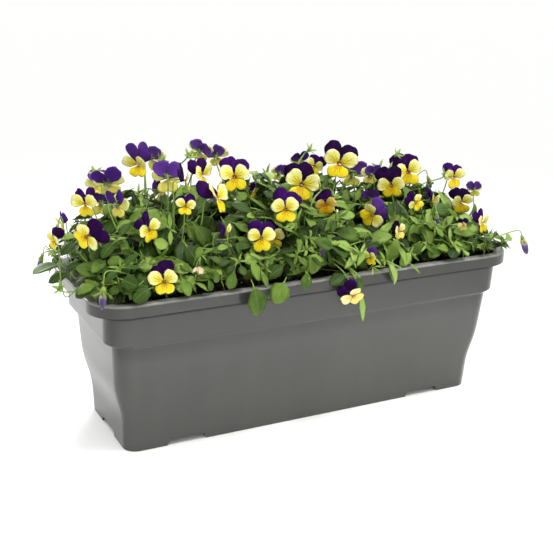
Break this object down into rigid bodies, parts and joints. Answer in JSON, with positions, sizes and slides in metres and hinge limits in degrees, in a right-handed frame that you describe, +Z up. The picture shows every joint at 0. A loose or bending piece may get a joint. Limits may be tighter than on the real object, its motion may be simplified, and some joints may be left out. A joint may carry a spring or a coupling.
{
  "type": "planted window box",
  "caption": "Grey plastic window box with a turned-down rim and notched feet, filled with soil and planted with violas in purple and yellow.",
  "frame": {"origin": "middle of the underside, on the plane the trough's feet stand on", "axes": "+X along the trough's length, -Y out of its front, +Z up"},
  "size_m": [0.5813, 0.232, 0.3058],
  "materials": {
    "grey_plastic": "satin moulded",
    "potting_soil": "damp and crumbly",
    "leaf_green": "satin leaf",
    "viola_petals": "velvety petal"
  },
  "bodies": {
    "root": {"planter_box": "grey_plastic", "potting_soil": "potting_soil", "viola_1_greens": "leaf_green", "viola_1_flower_1": "viola_petals", "viola_1_flower_2": "viola_petals", "viola_1_flower_3": "viola_petals", "viola_1_flower_4": "viola_petals", "viola_1_flower_5": "viola_petals", "viola_1_flower_6": "viola_petals", "viola_1_flower_7": "viola_petals", "viola_1_flower_8": "viola_petals", "viola_1_flower_9": "viola_petals", "viola_1_flower_10": "viola_petals", "viola_1_flower_11": "viola_petals", "viola_1_flower_12": "viola_petals", "viola_1_flower_13": "viola_petals", "viola_1_flower_14": "viola_petals", "viola_2_greens": "leaf_green", "viola_2_flower_1": "viola_petals", "viola_2_flower_2": "viola_petals", "viola_2_flower_3": "viola_petals", "viola_2_flower_4": "viola_petals", "viola_2_flower_5": "viola_petals", "viola_2_flower_6": "viola_petals", "viola_2_flower_7": "viola_petals", "viola_2_flower_8": "viola_petals", "viola_2_flower_9": "viola_petals", "viola_2_flower_10": "viola_petals", "viola_3_greens": "leaf_green", "viola_3_flower_1": "viola_petals", "viola_3_flower_2": "viola_petals", "viola_3_flower_3": "viola_petals", "viola_3_flower_4": "viola_petals", "viola_3_flower_5": "viola_petals", "viola_3_flower_6": "viola_petals", "viola_3_flower_7": "viola_petals", "viola_3_flower_8": "viola_petals", "viola_3_flower_9": "viola_petals", "viola_4_greens": "leaf_green", "viola_4_flower_1": "viola_petals", "viola_4_flower_2": "viola_petals", "viola_4_flower_3": "viola_petals", "viola_4_flower_4": "viola_petals", "viola_4_flower_5": "viola_petals", "viola_4_flower_6": "viola_petals", "viola_4_flower_7": "viola_petals", "viola_5_greens": "leaf_green", "viola_5_flower_1": "viola_petals", "viola_5_flower_2": "viola_petals", "viola_5_flower_3": "viola_petals", "viola_5_flower_4": "viola_petals", "viola_5_flower_5": "viola_petals", "viola_5_flower_6": "viola_petals", "viola_6_greens": "leaf_green", "viola_6_flower_1": "viola_petals", "viola_6_flower_2": "viola_petals", "viola_6_flower_3": "viola_petals", "viola_6_flower_4": "viola_petals", "viola_6_flower_5": "viola_petals", "viola_6_flower_6": "viola_petals"}
  },
  "joints": []
}
